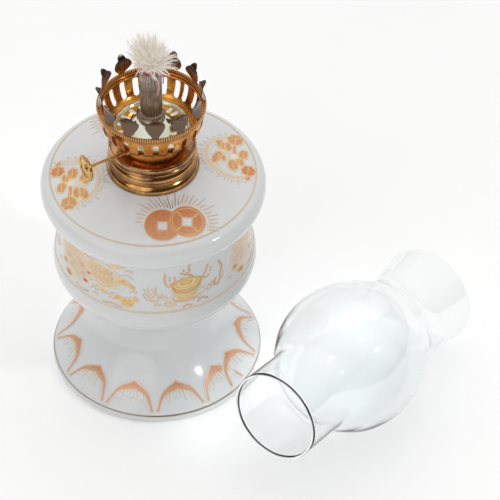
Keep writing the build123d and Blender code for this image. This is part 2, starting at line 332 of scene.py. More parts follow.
def spunFibre(name, pale, deep, spacing, sheerAndGlow=0.0):
    # matt fibre in two tones, in streaks of the given size in mm; sheer is the share of light that
    # it lets through, and it also sets the strength of a painted glow
    material, tree, place = newMaterial(name)
    streak = addNode(tree, "TexNoise", {"Vector": place, "Scale": 1000 / spacing, "Detail": 3})
    colour = addNode(tree, "Mix", {"data_type": "RGBA", 0: streak.outputs["Fac"],
                                   6: linear(pale), 7: linear(deep)})
    bump = addNode(tree, "Bump", {
        "Height": streak.outputs["Fac"], "Strength": 0.4, "Distance": 0.05 * mm})
    shader = addNode(tree, "BsdfPrincipled", {
        "Base Color": colour.outputs[2], "Roughness": 0.9, "Specular IOR Level": 0.2,
        "Normal": bump.outputs["Normal"]})
    if sheerAndGlow:  # a faint glow stands for the light that scatters on from fibre to fibre
        glow = 0.26
        shader.inputs["Emission Color"].default_value = linear(pale)
        shader.inputs["Emission Strength"].default_value = sheerAndGlow * glow
        passing = addNode(tree, "BsdfTranslucent", {"Color": colour.outputs[2]})
        shader = addNode(tree, "MixShader", {
            0: sheerAndGlow, 1: shader.outputs[0], 2: passing.outputs[0]})
    addNode(tree, "OutputMaterial", {"Surface": shader.outputs[0]})
    return material


cotton = spunFibre("cardedCotton", "FEFCF8", "F3EEE6", 0.8, 0.5)
redCotton = spunFibre("dyedCottonThread", "DC7284", "A84456", 0.5, 0.3)
pinkCotton = spunFibre("palePinkCotton", "F6DEDC", "E2B4B8", 0.5, 0.4)
plaster = spunFibre("setPlaster", "E2DCCF", "C9C0AE", 0.6)
for name in ("font", "foot"):
    dress(nodes[name], opal)
dress(nodes["chimney"], clearGlass)
dress(nodes["collar_cement"], plaster)
dress(nodes["wick"], cotton)
print("glass and cotton done")


# milled band of the gallery, and flutes of the wick tube; sizes in mm

milled = {"ribs": 144, "depth": 0.4, "inner": 20.8, "outer": 21.85, "low": 140.7, "high": 142.15,
          "chamfer": 0.1, "bright": "E6B070", "valley": "7A4A20"}
flutes = {"count": 20, "depth": 0.26, "radius": 4.15, "inner": 3.6, "low": 138.3, "high": 160.06}

# knurled brass: bright on the ribs and dark between them; specks of dirt 2.5 mm across
knurled, tree, place = newMaterial("knurledBrass")
sides = addNode(tree, "SeparateXYZ", {0: place})
angle = addNode(tree, "Math", {
    "operation": "ARCTAN2", 0: sides.outputs["Y"], 1: sides.outputs["X"]})
phase = addNode(tree, "Math", {"operation": "MULTIPLY", 0: angle.outputs[0], 1: milled["ribs"]})
rib = addNode(tree, "Math", {"operation": "COSINE", 0: phase.outputs[0]})
onRib = addNode(tree, "MapRange", {"Value": rib.outputs[0], "From Min": -0.5, "From Max": 0.5})
dirt = addNode(tree, "TexNoise", {"Vector": place, "Scale": 400, "Detail": 3})
gloss = addNode(tree, "MapRange", {"Value": dirt.outputs["Fac"], "To Min": 0.2, "To Max": 0.45})
colour = addNode(tree, "Mix", {"data_type": "RGBA", 0: onRib.outputs["Result"],
                               6: linear(milled["valley"]), 7: linear(milled["bright"])})
shader = addNode(tree, "BsdfPrincipled", {"Base Color": colour.outputs[2], "Metallic": 1.0,
                                          "Roughness": gloss.outputs["Result"]})
addNode(tree, "OutputMaterial", {"Surface": shader.outputs[0]})


def ripples(count, turns, height):  # cosine of the count times the angle, times the height
    angle = np.linspace(0, 2 * np.pi, turns, endpoint=False)
    return np.cos(count * angle)[None, :] * height


# section of the milled band: both walls stand in and out with the ribs between its chamfers
turns = milled["ribs"] * 6
wave = ripples(milled["ribs"], turns, milled["depth"] / 2)
side = np.array([-1, 1, 1, 1, 1, -1, -1, -1])[:, None]  # -1 on the inner wall, 1 on the outer
proud = np.array([0, 0, 1, 1, 0, 0, 1, 1])[:, None]  # 1 where the ribs stand
middle = (milled["inner"] + milled["outer"]) / 2
half = (milled["outer"] - milled["inner"]) / 2 - milled["chamfer"]
rise = np.array([0, 0, 0.12, 0.88, 1, 1, 0.88, 0.12])[:, None]
addRevolved("milledBand", middle + side * (half + milled["chamfer"] * proud + wave * proud),
            milled["low"] + rise * (milled["high"] - milled["low"]), turns, knurled,
            "burner")

# the jacket's outer wall is a circle with the flutes' cosine added
turns = flutes["count"] * 12
wave = ripples(flutes["count"], turns, flutes["depth"])
swell = np.array([0, 1, 1, 1, 0.5, 0])[:, None]  # 0 on the inner wall, 1 on the outer
rise = np.array([0, 0, 0.3, 0.985, 1, 1])[:, None]
addRevolved("tubeFlutes", flutes["inner"] + swell * (flutes["radius"] - flutes["inner"] + wave),
            flutes["low"] + rise * (flutes["high"] - flutes["low"]), turns,
            nodes["wick_tube"].data.materials[0], "burner")
print("milled band and flutes done")


# the lamp's front faces the camera: x and y of one mm to the right and one mm to the back

rightward, backward = (0.6035, -0.7974), (0.7974, 0.6035)


def fromFront(right, back):  # x and y of a place to the right and to the back of the axis
    return (rightward[0] * right + backward[0] * back,
            rightward[1] * right + backward[1] * back)


# frayed wick

tuft = {
    "steps": 9, "root": 160.4, "bundle": 2.7, "seed": 7,
    # share of the strands, lean to the right and to the back, tilt of the outermost in degrees,
    # shortest and longest strand in mm
    "bundles": {
        "tall": (0.55, -0.12, 0.12, 58, (8.5, 13.0)),
        "low": (0.45, 0.24, -0.04, 112, (6.5, 9.5)),
    },
    "yarns": 330, "yarnRadius": 0.42,
    "fibres": 500, "fibreRadius": 0.1,
}


def addStrands(name, centres, radii, sides, material, body):
    # tubes along many lines at once: a circle of sides round each point of a line, square to the
    # line's direction there, and capped at both ends
    count, steps = centres.shape[:2]
    ahead = np.gradient(centres, axis=1)
    ahead /= np.linalg.norm(ahead, axis=2, keepdims=True)
    helper = np.where(np.abs(ahead[..., 2:]) > 0.9, [1.0, 0, 0], [0, 0, 1.0])
    across = np.cross(ahead, helper)
    across /= np.linalg.norm(across, axis=2, keepdims=True)
    other = np.cross(ahead, across)
    turn = np.linspace(0, 2 * np.pi, sides, endpoint=False)
    ring = (across[:, :, None] * np.cos(turn)[:, None] + other[:, :, None] * np.sin(turn)[:, None])
    points = centres[:, :, None] + ring * radii[:, :, None, None]
    one = gridFaces(steps, sides, False, True)
    faces = (one[None] + np.arange(count)[:, None, None] * steps * sides).reshape(-1, 4)
    cap = np.arange(sides)
    start = np.arange(count)[:, None] * steps * sides
    caps = np.concatenate([start + cap[::-1], start + (steps - 1) * sides + cap])
    faces = faces.tolist() + caps.tolist()
    return addPiece(name, points.reshape(-1, 3) * mm, faces, material, body)


rng = np.random.default_rng(tuft["seed"])


def frayedLines(count, looseness, lengthScale):
    # each strand leaves the tube upright and leans over evenly along its length, an outer one
    # further, and a slow wave turns it
    lines = []
    for share, right, back, droop, lengths in tuft["bundles"].values():
        number = round(count * share)
        out, way = np.sqrt(rng.random(number)), rng.random(number) * 2 * np.pi
        tilt = np.radians(droop) * (0.12 + 0.88 * out) * rng.uniform(0.5, 1.0, number)
        length = rng.uniform(*lengths, number) * lengthScale
        t = np.linspace(0, 1, tuft["steps"])[None, :]
        bend = tilt[:, None] * np.clip(t * 1.4, 0, 1)
        waves, start = rng.uniform(0.4, 1.1, number)[:, None], rng.random(number)[:, None] * 6
        sway = way[:, None] + looseness * np.sin(2 * np.pi * t * waves + start)
        step = (length / (tuft["steps"] - 1))[:, None]
        moves = np.stack([np.sin(bend) * np.cos(sway), np.sin(bend) * np.sin(sway),
                          np.cos(bend)], -1)
        leanX, leanY = fromFront(right, back)
        moves[..., 0] += leanX
        moves[..., 1] += leanY
        moves *= step[..., None]
        root = np.stack([tuft["bundle"] * out * np.cos(way), tuft["bundle"] * out * np.sin(way),
                         np.full(number, tuft["root"])], -1)
        lines.append(root[:, None] + np.cumsum(moves, axis=1) - moves[:, :1])
    return np.concatenate(lines)

taper = np.linspace(1, 0.45, tuft["steps"])[None, :]
yarns = frayedLines(tuft["yarns"], 0.35, 1.0)
yarnRadii = taper * rng.uniform(0.7, 1.15, len(yarns))[:, None] * tuft["yarnRadius"]
yarnPiece = addStrands("wickYarns", yarns, yarnRadii, 5, cotton, "wick")
fibres = frayedLines(tuft["fibres"], 0.6, 1.05)
fibreRadii = taper * np.full((len(fibres), 1), tuft["fibreRadius"])
addStrands("wickFibres", fibres, fibreRadii, 3, cotton, "wick")
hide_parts("wick_tuft")

# tracer thread: a ring that wanders in and out and up and down, and loose ends beside it

tracer = {"radius": 3.95, "wander": 0.35, "height": 161.0, "sway": 0.55, "thread": 0.42,
          "points": 61}
around = np.linspace(0, 2 * np.pi, tracer["points"])
reach = tracer["radius"] + tracer["wander"] * np.sin(5 * around)
loop = np.stack([reach * np.cos(around), reach * np.sin(around),
                 tracer["height"] + tracer["sway"] * np.sin(3 * around + 1.0)], -1)
threadRadii = np.full((1, tracer["points"]), tracer["thread"])
tracerRing = addStrands("tracerThread", loop[None], threadRadii, 8, redCotton, "wick")
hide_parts("tracer_thread")

looseEnds = {
    # places as (right, back, height), thread radius, material, slot
    "tracerLeft": ([(-2.2, -3.3, 161.6), (-4.0, -2.6, 160.9), (-5.6, -1.6, 159.4),
                    (-6.4, -0.9, 158.6)], 0.3, redCotton, "red_thread"),
    "tracerRight": ([(0.8, -3.8, 161.8), (2.8, -3.6, 161.4), (4.6, -2.6, 160.2),
                     (5.6, -1.9, 158.0)], 0.34, redCotton, "red_thread"),
    "paleLoop": ([(-0.5, -3.9, 162.4), (1.6, -4.3, 160.6), (3.2, -4.5, 157.6), (3.3, -4.4, 153.6),
                  (2.8, -4.6, 150.6)], 0.38, pinkCotton, "cotton"),
    "paleEnd": ([(2.2, -4.0, 162.0), (4.2, -3.4, 160.8), (5.2, -2.8, 157.6), (5.0, -2.9, 155.4)],
                0.32, pinkCotton, "cotton"),
}
for name, (places, radius, material, slot) in looseEnds.items():
    # straight runs between the places, then each point moved three times to its neighbours' mean
    right, back, height = np.array(places, float).T
    line = np.stack([*fromFront(right, back), height], -1)
    t = np.linspace(0, len(line) - 1, 25)
    line = np.stack([np.interp(t, np.arange(len(line)), line[:, k]) for k in range(3)], -1)
    for _ in range(3):
        line[1:-1] = (line[:-2] + 2 * line[1:-1] + line[2:]) / 4
    addStrands(name, line[None], np.full((1, len(line)), radius), 7, material, "wick")
print("wick done")


# gilding fired onto the glass: thin sheets that follow the glass and fade into it at their edges;
# places in mm, right and back of the axis on the shoulder, and round and up from it on the band

gilding = {
    "lift": 0.07,       # above the glass
    "thickness": 0.09,
    "cell": 0.27,       # between points of a sheet
    "topLine": (42.0, 0.85),    # radius and width
    "bandLines": ((90.4, 64.5), 1.0),  # heights and width
    "footLine": (44.2, 0.5),    # radius and width
    "bandRadius": 40.0,
    "bandSpan": ((-50.9, 32.9), (64.9, 89.9)),
    "bandMotifs": 3,    # how often the pair of band pictures repeats round the font
}

paints = {
    "gold": "E2C287", "brightGold": "EAD08A", "tan": "E3C9A6", "ivory": "F0E6D6",
    "orange": "DB9C68", "deepOrange": "D2824E", "copper": "D98A50", "brown": "6A4C40",
    "topLine": "D5B98E", "bandLine": "DFC7A2", "footLine": "74644F",
    "ray": "CFA283", "coinFoot": "E0A878", "coinRim": "E6B27E", "holeRim": "E8BE90",
    "cloudHatch": "DFB488", "ground": "DDBD92", "groundHatch": "CB9A60", "groundWave": "C98F56",
    "bank": "E6C88A", "bankHatch": "E0B052", "bankCross": "D2963F",
    "honey": "E4BC7C", "wheat": "E2B878", "straw": "E6C27A", "sand": "DDBB90", "amber": "DDA95C",
    "yellow": "E2B560", "ochre": "D9A04F", "camel": "D8A86E", "fawn": "C98A52", "clay": "CC8A55",
    "sienna": "D2905C", "toffee": "D09A62", "rust": "C4693C", "salmon": "DD9A76", "rose": "DD9070",
    "branch": "D9A878", "darkBranch": "D39A66", "curlAmber": "DDA55A", "curlSienna": "D2905A",
    "bowl": "E8CC88", "bowlRing": "D9A24A", "bowlBelly": "CFA066", "bowlFoot": "D3A050",
    "lip": "E6CD8C", "oil": "EAD79C", "oilRim": "D9AE62", "flame": "E3C27C", "flameRim": "CF9C50",
    "petal": "DA9A6A", "petalGlow": "DDA77E", "feather": "BE8C78",
}

# the glass takes the paint's colour by its share, and is duller and slightly metallic there;
# the paint is rubbed in specks about 1 mm across
gold, tree, place = newMaterial("firedGilding")
colour, gloss, normal = opalNodes(tree, place)
tone = addNode(tree, "Attribute", {"attribute_name": "tone"})
rub = addNode(tree, "TexNoise", {"Vector": place, "Scale": 900, "Detail": 3})
rubbed = addNode(tree, "MapRange", {
    "Value": rub.outputs["Fac"], "From Min": 0.3, "From Max": 0.5, "To Min": 0.78, "To Max": 1.0})
share = addNode(tree, "Math", {
    "operation": "MULTIPLY", 0: tone.outputs["Alpha"], 1: rubbed.outputs["Result"]})
paint = addNode(tree, "Mix", {
    "data_type": "RGBA", 0: share.outputs[0], 6: colour, 7: tone.outputs["Color"]})
dull = addNode(tree, "Mix", {0: share.outputs[0], 2: gloss, 3: 0.3})
metalShare = addNode(tree, "Math", {"operation": "MULTIPLY", 0: share.outputs[0], 1: 0.18})
shader = addNode(tree, "BsdfPrincipled", {
    "Base Color": paint.outputs[2], "Roughness": dull.outputs[0], "IOR": 1.5,
    "Metallic": metalShare.outputs[0], "Normal": normal})
addNode(tree, "OutputMaterial", {"Surface": shader.outputs[0]})


def read(things, key, width=3):  # one property of all the things as an array, a row for each
    values = np.empty(len(things) * width, float if width == 3 else int)
    things.foreach_get(key, values)
    return values.reshape(-1, width)


def outerProfile(node, faces, along):
    # (key, value) in mm along the glass's outer meridian, sorted by the key, which is the radius or
    # the height, from the corners of the faces that pass the test
    mesh = node.data
    chosen = faces(read(mesh.polygons, "normal"), read(mesh.polygons, "center") / mm)
    onCorners = np.repeat(chosen, read(mesh.polygons, "loop_total", 1)[:, 0])
    chosen = np.unique(read(mesh.loops, "vertex_index", 1)[onCorners, 0])
    points = read(mesh.vertices, "co") / mm
    radius, height = np.hypot(points[chosen, 0], points[chosen, 1]), points[chosen, 2]
    key, value = (radius, height) if along == "radius" else (height, radius)
    key, first = np.unique(np.round(key, 3), return_index=True)
    return key, value[first]


def outward(normals, centres):  # share of each face's normal that points away from the axis
    radius = np.maximum(np.hypot(*centres[:, :2].T), 0.001)
    return (normals[:, :2] * centres[:, :2]).sum(1) / radius


def onTop(normals, centres):
    return (normals[:, 2] > 0.15) & (centres[:, 2] > 99.5)


def onBand(normals, centres):
    return (outward(normals, centres) > 0.5) & (centres[:, 2] > 60) & (centres[:, 2] < 94)


def onFoot(normals, centres):
    return (normals[:, 2] > 0.1) & (centres[:, 2] > 3.2)


topProfile = outerProfile(nodes["font"], onTop, "radius")
bandProfile = outerProfile(nodes["font"], onBand, "height")
footProfile = outerProfile(nodes["foot"], onFoot, "radius")


def turned(radius, angle, height):  # place at a radius and an angle from the front, to the right
    x, y = fromFront(radius * np.sin(angle), -radius * np.cos(angle))
    return np.stack([x, y, height + 0 * x], -1)


def overGlass(profile, radius, angle, lift):
    # points over an upward-facing surface: its height at the radius, then the lift along its normal
    height = np.interp(radius, *profile)
    slope = (np.interp(radius + 0.3, *profile) - np.interp(radius - 0.3, *profile)) / 0.6
    size = np.hypot(slope, 1)
    return turned(radius - lift * slope / size, angle, height + lift / size)


def aroundGlass(height, angle, lift):  # points round the side band, at its radius plus the lift
    return turned(np.interp(height, *bandProfile) + lift, angle, height)


def newSheet(shape):  # colour and share of paint at each point of a sheet, empty at first
    return {"colour": np.ones(shape + (3,)) * linear(paints["gold"])[:3], "paint": np.zeros(shape)}


def lay(sheet, amount, tint):  # the colour moves to the paint's by the amount, the share up to it
    amount = np.clip(amount, 0, 1)
    sheet["colour"] += (np.array(linear(paints[tint])[:3]) - sheet["colour"]) * amount[..., None]
    sheet["paint"] = np.maximum(sheet["paint"], amount)


def soft(distance, half, edge=0.14):  # 1 inside half the width, fading to 0 over the edge
    return np.clip((half + edge - distance) / (2 * edge), 0, 1)


def hatching(phase, pitch, half):  # 1 near the middle of each pitch of the phase
    return soft(np.abs(np.mod(phase, pitch) - pitch / 2), half)


def mound(u, v, centre, half, top):  # the top less the squared distance in half sizes
    return np.clip(top - np.hypot((u - centre[0]) / half[0], (v - centre[1]) / half[1]) ** 2, 0, 1)


def curve(points, steps=7):
    # smooth line: each stretch is the Catmull-Rom cubic of the four nearest points
    p = np.array([points[0], *points, points[-1]], float)
    t = np.linspace(0, 1, steps, endpoint=False)[None, :, None]
    p0, p1, p2, p3 = (p[i:len(p) - 3 + i, None] for i in range(4))
    line = 0.5 * (2 * p1 + (p2 - p0) * t + (2 * p0 - 5 * p1 + 4 * p2 - p3) * t**2
                  + (3 * p1 - p0 - 3 * p2 + p3) * t**3)
    return np.concatenate([line.reshape(-1, 2), p[-1:]])


def toLine(u, v, points):  # distance to the nearest stretch of a line, square to it or to its ends
    nearest = np.full(u.shape, 99.0)
    for (u0, v0), (u1, v1) in zip(points[:-1], points[1:]):
        du, dv = u1 - u0, v1 - v0
        t = np.clip(((u - u0) * du + (v - v0) * dv) / max(du * du + dv * dv, 1e-6), 0, 1)
        nearest = np.minimum(nearest, np.hypot(u - u0 - t * du, v - v0 - t * dv))
    return nearest


def stroke(sheet, u, v, points, width, tint, strength=1.0):  # paint along a smooth line
    lay(sheet, soft(toLine(u, v, curve(points)), width / 2) * strength, tint)


def leaf(sheet, u, v, centre, half, lean, tint, rim, rimWidth):
    # slightly lobed ellipse with the given half sizes, leaning by degrees, filled and outlined
    c, s = math.cos(math.radians(lean)), math.sin(math.radians(lean))
    p = (u - centre[0]) * c + (v - centre[1]) * s
    q = -(u - centre[0]) * s + (v - centre[1]) * c
    wobble = 1 + 0.07 * np.sin(7 * np.arctan2(q, p))
    away = (np.hypot(p / half[0], q / half[1]) - wobble) * min(half)
    lay(sheet, soft(away, 0.0), tint)
    lay(sheet, soft(np.abs(away), rimWidth / 2), rim)


def addSheet(name, points, sheet, closed=False, copies=1):
    # quads over points (copies, rows, columns, 3), where there is paint or where two cells would
    # meet only at a corner, without the unused points, and with a thin wall
    rows, columns = sheet["paint"].shape
    inked = sheet["paint"] > 0.02
    across = np.roll(inked, -1, 1) if closed else inked[:, 1:]
    near = inked if closed else inked[:, :-1]
    kept = near[:-1] | near[1:] | across[:-1] | across[1:]
    for _ in range(3):
        falling = kept[:-1, :-1] & kept[1:, 1:] & ~kept[:-1, 1:] & ~kept[1:, :-1]
        rising = kept[:-1, 1:] & kept[1:, :-1] & ~kept[:-1, :-1] & ~kept[1:, 1:]
        kept[:-1, 1:] |= falling
        kept[:-1, :-1] |= rising
    faces = gridFaces(rows, columns, False, closed)[kept.reshape(-1)]
    used, numbers = np.unique(faces, return_inverse=True)
    faces = numbers.reshape(-1, 4)
    places = points.reshape(copies, -1, 3)[:, used]
    faces = (faces[None] + np.arange(copies)[:, None, None] * len(used)).reshape(-1, 4)
    first = places[0][faces[0]]
    normal = np.cross(first[1] - first[0], first[3] - first[0])
    if np.dot(normal, [first[0][0] * 0.02, first[0][1] * 0.02, 1]) < 0:  # up and away from the axis
        faces = faces[:, ::-1]
    piece = addPiece(name, places.reshape(-1, 3) * mm, faces, gold, "lamp")
    tones = np.concatenate([sheet["colour"], sheet["paint"][..., None]], -1).reshape(-1, 4)[used]
    layer = piece.data.attributes.new("tone", "FLOAT_COLOR", "POINT")
    layer.data.foreach_set("color", np.tile(tones, (copies, 1)).reshape(-1))
    shell = piece.modifiers.new("shell", "SOLIDIFY")
    shell.thickness, shell.offset = gilding["thickness"] * mm, -1


# even lines right round the glass, a little lighter in places
around = np.linspace(0, 2 * np.pi, 540, endpoint=False)[None, :]
acrossLine = np.array([-1, -0.65, 0, 0.65, 1])[:, None] / 2
lineEdge = np.array([0.03, 0.9, 1, 0.9, 0.03])[:, None]


def addLine(name, tint, centre, width, place):
    # closed strip of five rows; place turns (radius or height, angle) into points
    sheet = newSheet((lineEdge.size, around.size))
    lay(sheet, lineEdge * (0.86 + 0.14 * np.sin(around * 3 + 1)), tint)
    addSheet(name, place(centre + acrossLine * width + 0 * around), sheet, closed=True)


lift = gilding["lift"]
addLine("topLine", "topLine", *gilding["topLine"], lambda r: overGlass(topProfile, r, around, lift))
heights, width = gilding["bandLines"]
for number, height in enumerate(heights):
    addLine("bandLine%d" % number, "bandLine", height, width,
            lambda h: aroundGlass(h, around, lift))
addLine("footLine", "footLine", *gilding["footLine"],
        lambda r: overGlass(footProfile, r, around, lift))
print("gilded lines done")


def shoulderSheet(name, corners, draw):
    # flat picture between two corners, laid on the shoulder, and once more half a turn on
    (left, front), (right, back) = corners
    a, b = np.meshgrid(np.arange(left, right, gilding["cell"]),
                       np.arange(front, back, gilding["cell"]))
    sheet = newSheet(a.shape)
    draw(sheet, a, b)
    points = overGlass(topProfile, np.hypot(a, b), np.arctan2(a, -b), lift)
    addSheet(name, points, sheet)
    addSheet(name + "Opposite", points * [-1, -1, 1], sheet)


coins = {
    "corners": ((-6, -42), (27, -16)),
    "discs": ((4.7, -32.3), (14.7, -29.9)), "radius": 7.4, "shade": (-27, 12),
    "holes": ((4.7, -32.6), (14.5, -30.1)), "holeHalf": 1.85,
    "arcs": (14.6, -30.0), "arcOffset": 6.6, "arcRadius": 4.9,  # on the right disc
    "rayCentre": (10.0, -32.0), "rayStart": 8.25, "rayPitch": 6.95, "rayLengths": (6.0, 3.9),
    "rayHalf": 0.24, "rayEnds": (182, 354),  # degrees between which there are no rays
    "darkRays": (7, 6),  # place and half width of the brown ones
}


def drawCoins(sheet, a, b):
    # rays near each multiple of the pitch in angle, then two discs by the distance from a centre,
    # with square holes by the larger of the two offsets
    left, right = (np.hypot(a - x, b - y) for x, y in coins["discs"])
    x, y = coins["rayCentre"]
    angle, away = np.degrees(np.arctan2(b - y, a - x)) % 360, np.hypot(a - x, b - y)
    beyond = np.minimum(left, right) - coins["rayStart"]
    turn = (angle + 5) / coins["rayPitch"]
    number = np.round(turn)
    offset = np.abs(turn - number) * np.radians(coins["rayPitch"]) * away
    length = np.where(number % 2 == 0, *coins["rayLengths"]) * (0.9 + 0.1 * np.sin(number * 2.4))
    half = coins["rayHalf"] * np.clip(1.15 - beyond / length * 0.6, 0.2, 1)
    ray = soft(offset, half, 0.12) * soft(np.abs(beyond - length / 2), length / 2, 0.3)
    ray = ray * ((angle < coins["rayEnds"][0]) | (angle > coins["rayEnds"][1]))
    place, reach = coins["darkRays"]
    lay(sheet, ray * 0.95, "ray")
    lay(sheet, ray * np.clip(1 - np.abs(a - place) / reach, 0, 1) ** 0.7, "brown")
    start, reach = coins["shade"]
    low = np.clip((start - b) / reach, 0, 1)
    cut = 0
    for distance, (x, y) in zip((left, right), coins["holes"]):
        disc = soft(distance, coins["radius"], 0.18)
        lay(sheet, disc, "deepOrange")
        lay(sheet, disc * low * 0.75, "coinFoot")
        lay(sheet, soft(np.abs(distance - coins["radius"] + 0.2), 0.2), "coinRim")
        hole = np.maximum(np.abs(a - x), np.abs(b - y)) + 0.12 * np.cos(4 * np.arctan2(b, a))
        cut = cut + soft(hole, coins["holeHalf"], 0.2)
        lay(sheet, soft(np.abs(hole - coins["holeHalf"] - 0.25), 0.16), "holeRim")
    lay(sheet, soft(np.abs(right - 6.2), 0.17), "gold")
    (x, y), far = coins["arcs"], coins["arcOffset"]
    arcs = [np.abs(np.hypot(a - x - far * i, b - y - far * j) - coins["arcRadius"])
            for i, j in ((1, 0), (-1, 0), (0, 1), (0, -1))]
    lay(sheet, soft(np.minimum.reduce(arcs), 0.15) * soft(right, 6.1) * (hole > 2.2), "gold")
    sheet["paint"] *= 1 - np.clip(cut, 0, 1)


clouds = {
    "corners": ((15.5, -9), (42, 27)), "centre": (33.5, 8), "glassEdge": 41.6,
    "ringRadius": 12.2, "hatchPitch": 5.6, "hatch": (11.1, 13.7),  # degrees, and from and to
    "stems": ((((33.3, 15.6), (33.0, 12.5), (33.2, 10.0)), 1.5, "orange"),
              (((39.2, -1.6), (38.4, -4.2)), 1.6, "copper")),
    # centre, half sizes, lean in degrees, paint
    "lobes": (((33.3, 18.8), (2.9, 3.2), 0, "orange"), ((27.6, 14.6), (1.6, 3.3), 28, "orange"),
              ((30.4, 13.8), (1.3, 2.8), 8, "orange"), ((36.7, 10.0), (1.7, 2.7), -10, "orange"),
              ((26.0, 6.3), (1.6, 4.0), -22, "orange"), ((28.6, 6.2), (1.0, 1.7), 0, "orange"),
              ((32.5, 2.8), (1.9, 3.0), 6, "orange"), ((38.8, 0.6), (2.6, 2.8), 0, "copper"),
              ((35.4, 5.2), (1.3, 2.2), 20, "orange")),
    "swell": (1.14, 1.08),
    "veins": (((29.5, 15), (29.2, 10), (29.6, 5)), ((33.5, 20), (33.3, 16), (33.5, 12)),
              ((35.3, 8), (35.1, 5), (35.4, 2)), ((26.8, 8.5), (26.2, 4), (26.9, 0)),
              ((32.9, 5), (32.6, 2), (32.9, -1)), ((38.9, 2.8), (38.6, -0.6), (38.3, -4)),
              ((27.8, 17), (27.5, 14), (28.0, 11)), ((31.2, 21), (33.3, 19.6), (35.6, 20.8)),
              ((36.6, 12), (36.9, 9.6), (36.6, 7.6))),
}


def drawClouds(sheet, a, b):
    # ring of fine strokes, near each multiple of the pitch in angle, round a spray of lobed clouds
    x, y = clouds["centre"]
    ring, angle = np.hypot(a - x, b - y), np.degrees(np.arctan2(b - y, a - x))
    inside = np.clip((clouds["glassEdge"] - np.hypot(a, b)) / 1.2, 0, 1)
    haze = soft(np.abs(ring - clouds["ringRadius"]), 1.0, 0.7)
    lay(sheet, haze * inside * (0.6 + 0.12 * np.sin(np.radians(angle) * 9)), "tan")
    turn = (angle + 180) / clouds["hatchPitch"]
    number = np.round(turn)
    offset = np.abs(turn - number) * np.radians(clouds["hatchPitch"]) * ring
    start, end = clouds["hatch"]
    end = end + 1.5 * (number % 2) + 0.6 * np.sin(number * 1.9)
    hatch = soft(offset, 0.2) * soft(np.abs(ring - (start + end) / 2), (end - start) / 2, 0.3)
    lay(sheet, hatch * inside * 0.9, "cloudHatch")
    for points, width, tint in clouds["stems"]:
        stroke(sheet, a, b, points, width, tint)
    wide, long = clouds["swell"]
    for centre, half, lean, tint in clouds["lobes"]:
        leaf(sheet, a, b, centre, (half[0] * wide, half[1] * long), lean, tint, "brightGold", 0.42)
    leaf(sheet, a, b, (32.8, 8.2), (1.7, 1.7), 0, "ivory", "brightGold", 0.4)
    for points in clouds["veins"]:
        stroke(sheet, a, b, points, 0.32, "brightGold")


shoulderSheet("shoulderCoins", coins["corners"], drawCoins)
shoulderSheet("shoulderClouds", clouds["corners"], drawClouds)
print("shoulder gilding done")

# side band: a bowl among flames, then a hatched landscape, three times round
landscape = {
    "ground": ((-37, 78.5), (13, 11.5), 1.25),  # centre, half sizes, height over the edge's level
    "bank": ((-21.5, 79.5), (9.0, 6.4), 1.35), "bankSlope": 0.25,
    # centre, half sizes, lean in degrees, paint
    "flowers": (
        ((-13.5, 87.6), (2.4, 1.2), 10, "tan"), ((-16.8, 85.6), (1.6, 0.9), -10, "tan"),
        ((-12, 79), (2.3, 1.5), 15, "honey"), ((-8.4, 77.0), (1.5, 1.0), -20, "honey"),
        ((-21, 71), (2.2, 1.1), 0, "tan"), ((-10, 68.4), (2.8, 2.0), 0, "wheat"),
        ((-14.2, 69.8), (1.5, 1.2), 20, "wheat"), ((-6.6, 70.2), (1.3, 1.1), -20, "wheat"),
        ((-30, 71), (1.6, 1.0), 0, "rust"), ((-28, 76.5), (1.5, 0.9), 15, "rust"),
        ((-44, 72), (2.0, 1.2), 0, "fawn"), ((-40.5, 68), (2.4, 1.1), -12, "clay"),
        ((-36, 84.5), (2.8, 1.3), -8, "sand"), ((-30.5, 86.0), (2.0, 0.9), 6, "tan"),
        ((-24, 85.6), (2.2, 0.8), -6, "tan")),
    # points, width, paint
    "lines": (
        (((-12, 80), (-10.5, 77.5), (-8.5, 78.5), (-7, 75)), 0.5, "amber"),
        (((-18, 83), (-14, 81.5), (-10.5, 83.2), (-8, 81.6)), 0.4, "yellow"),
        (((-27, 73.5), (-24, 74.5), (-21, 73.2), (-17, 74.4)), 0.45, "amber"),
        (((-21, 71), (-18.5, 69.8), (-16, 71)), 0.45, "amber"),
        (((-12.5, 69), (-10, 67.2), (-7.5, 69)), 0.4, "brightGold"),
        (((-10, 70.4), (-9.6, 66.4)), 0.4, "brightGold"),
        (((-20, 65.6), (-16, 66.3), (-12, 65.4)), 0.55, "salmon"),
        (((-35, 66.5), (-31, 66.0), (-28, 66.6)), 0.55, "sienna"),
        (((-46, 84), (-41, 86.5), (-36, 85)), 0.5, "camel"),
        (((-45, 76), (-40, 78), (-35, 76.5), (-31, 78)), 0.5, "fawn"),
        (((-44, 80.5), (-39, 82), (-34, 80.6)), 0.5, "toffee"),
        (((-33, 73.6), (-29.6, 74.4), (-26.8, 73.4)), 0.5, "toffee")),
}
(left, right), (bottom, top) = gilding["bandSpan"]
s, z = np.meshgrid(np.arange(left, right, gilding["cell"]), np.arange(bottom, top, gilding["cell"]))
sheet = newSheet(s.shape)

